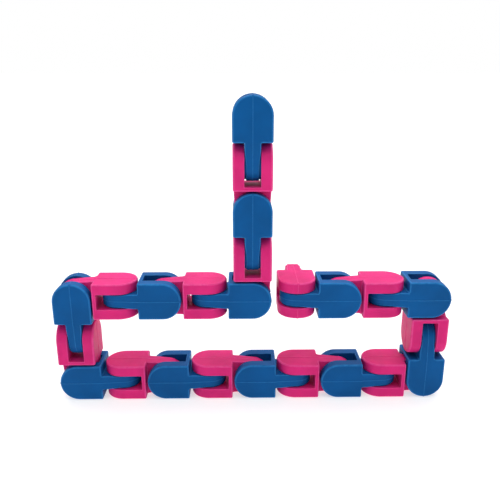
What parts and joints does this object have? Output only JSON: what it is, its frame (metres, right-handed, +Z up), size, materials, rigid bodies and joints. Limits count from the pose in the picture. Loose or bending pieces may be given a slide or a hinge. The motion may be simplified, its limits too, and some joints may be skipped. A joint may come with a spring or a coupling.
{
  "type": "twisty snake puzzle",
  "caption": "Snap-together chain puzzle of square links, fork to tongue, each joint bending at right angles to the last, standing folded into a figure with a tall neck.",
  "frame": {"origin": "under the middle of the whole figure, on the surface that it stands on: the bottom centre of its bounding box. The neck stands straight over it in X.", "axes": "+Z up, +X along the bottom row from link 11 to link 19, +Y towards the back, where the last link's free tongue points"},
  "size_m": [0.1416, 0.0288, 0.1096],
  "materials": {
    "blue_plastic": "satin",
    "pink_plastic": "satin"
  },
  "bodies": {
    "link_01": {"link_01": "blue_plastic"},
    "link_02": {"link_02": "pink_plastic"},
    "link_03": {"link_03": "blue_plastic"},
    "link_04": {"link_04": "pink_plastic"},
    "link_05": {"link_05": "blue_plastic"},
    "link_06": {"link_06": "pink_plastic"},
    "link_07": {"link_07": "blue_plastic"},
    "link_08": {"link_08": "pink_plastic"},
    "link_09": {"link_09": "blue_plastic"},
    "link_10": {"link_10": "pink_plastic"},
    "link_11": {"link_11": "blue_plastic"},
    "link_12": {"link_12": "pink_plastic"},
    "link_13": {"link_13": "blue_plastic"},
    "link_14": {"link_14": "pink_plastic"},
    "link_15": {"link_15": "blue_plastic"},
    "link_16": {"link_16": "pink_plastic"},
    "link_17": {"link_17": "blue_plastic"},
    "link_18": {"link_18": "pink_plastic"},
    "link_19": {"link_19": "blue_plastic"},
    "link_20": {"link_20": "pink_plastic"},
    "link_21": {"link_21": "blue_plastic"},
    "link_22": {"link_22": "pink_plastic"},
    "link_23": {"link_23": "blue_plastic"},
    "link_24": {"link_24": "pink_plastic"}
  },
  "joints": [
    {"name": "pivot_01_02", "type": "hinge", "parent": "link_02", "child": "link_01", "pos_m": [0, -0.00765, 0.0868], "axis": [1, 0, 0], "range_deg": [-90, 90]},
    {"name": "pivot_02_03", "type": "hinge", "parent": "link_03", "child": "link_02", "pos_m": [0, -0.00765, 0.0708], "axis": [0, 1, 0], "range_deg": [-90, 90]},
    {"name": "pivot_03_04", "type": "hinge", "parent": "link_04", "child": "link_03", "pos_m": [0, -0.00765, 0.0548], "axis": [1, 0, 0], "range_deg": [-90, 90]},
    {"name": "pivot_04_05", "type": "hinge", "parent": "link_05", "child": "link_04", "pos_m": [0, -0.00765, 0.0388], "axis": [0, -1, 0], "range_deg": [-14, 0]},
    {"name": "pivot_05_06", "type": "hinge", "parent": "link_06", "child": "link_05", "pos_m": [-0.016, -0.00765, 0.0388], "axis": [0, 0, 1], "range_deg": [-90, 90]},
    {"name": "pivot_06_07", "type": "hinge", "parent": "link_07", "child": "link_06", "pos_m": [-0.032, -0.00765, 0.0388], "axis": [0, -1, 0], "range_deg": [-10, 90]},
    {"name": "pivot_07_08", "type": "hinge", "parent": "link_08", "child": "link_07", "pos_m": [-0.048, -0.00765, 0.0388], "axis": [0, 0, 1], "range_deg": [-90, 90]},
    {"name": "pivot_08_09", "type": "hinge", "parent": "link_09", "child": "link_08", "pos_m": [-0.064, -0.00765, 0.0388], "axis": [0, 1, 0], "range_deg": [-180, 0]},
    {"name": "pivot_09_10", "type": "hinge", "parent": "link_10", "child": "link_09", "pos_m": [-0.064, -0.00765, 0.0228], "axis": [1, 0, 0], "range_deg": [-90, 90]},
    {"name": "pivot_10_11", "type": "hinge", "parent": "link_11", "child": "link_10", "pos_m": [-0.064, -0.00765, 0.0068], "axis": [0, -1, 0], "range_deg": [0, 180]},
    {"name": "pivot_11_12", "type": "hinge", "parent": "link_12", "child": "link_11", "pos_m": [-0.048, -0.00765, 0.0068], "axis": [0, 0, 1], "range_deg": [-90, 90]},
    {"name": "pivot_12_13", "type": "hinge", "parent": "link_13", "child": "link_12", "pos_m": [-0.032, -0.00765, 0.0068], "axis": [0, -1, 0], "range_deg": [-2, 90]},
    {"name": "pivot_13_14", "type": "hinge", "parent": "link_14", "child": "link_13", "pos_m": [-0.016, -0.00765, 0.0068], "axis": [0, 0, -1], "range_deg": [-90, 90]},
    {"name": "pivot_14_15", "type": "hinge", "parent": "link_15", "child": "link_14", "pos_m": [0, -0.00765, 0.0068], "axis": [0, -1, 0], "range_deg": [-2, 90]},
    {"name": "pivot_15_16", "type": "hinge", "parent": "link_15", "child": "link_16", "pos_m": [0.016, -0.00765, 0.0068], "axis": [0, 0, -1], "range_deg": [-14, 90]},
    {"name": "pivot_16_17", "type": "hinge", "parent": "link_16", "child": "link_17", "pos_m": [0.032, -0.00765, 0.0068], "axis": [0, 1, 0], "range_deg": [-2, 90]},
    {"name": "pivot_17_18", "type": "hinge", "parent": "link_17", "child": "link_18", "pos_m": [0.048, -0.00765, 0.0068], "axis": [0, 0, 1], "range_deg": [-90, 90]},
    {"name": "pivot_18_19", "type": "hinge", "parent": "link_18", "child": "link_19", "pos_m": [0.064, -0.00765, 0.0068], "axis": [0, 1, 0], "range_deg": [0, 180]},
    {"name": "pivot_19_20", "type": "hinge", "parent": "link_19", "child": "link_20", "pos_m": [0.064, -0.00765, 0.0228], "axis": [1, 0, 0], "range_deg": [-90, 90]},
    {"name": "pivot_20_21", "type": "hinge", "parent": "link_20", "child": "link_21", "pos_m": [0.064, -0.00765, 0.0388], "axis": [0, -1, 0], "range_deg": [-180, 0]},
    {"name": "pivot_21_22", "type": "hinge", "parent": "link_21", "child": "link_22", "pos_m": [0.048, -0.00765, 0.0388], "axis": [0, 0, -1], "range_deg": [-90, 90]},
    {"name": "pivot_22_23", "type": "hinge", "parent": "link_22", "child": "link_23", "pos_m": [0.032, -0.00765, 0.0388], "axis": [0, 1, 0], "range_deg": [-90, 90]},
    {"name": "pivot_23_24", "type": "hinge", "parent": "link_23", "child": "link_24", "pos_m": [0.016, -0.00765, 0.0388], "axis": [0, 0, -1], "range_deg": [-14, 0]}
  ]
}
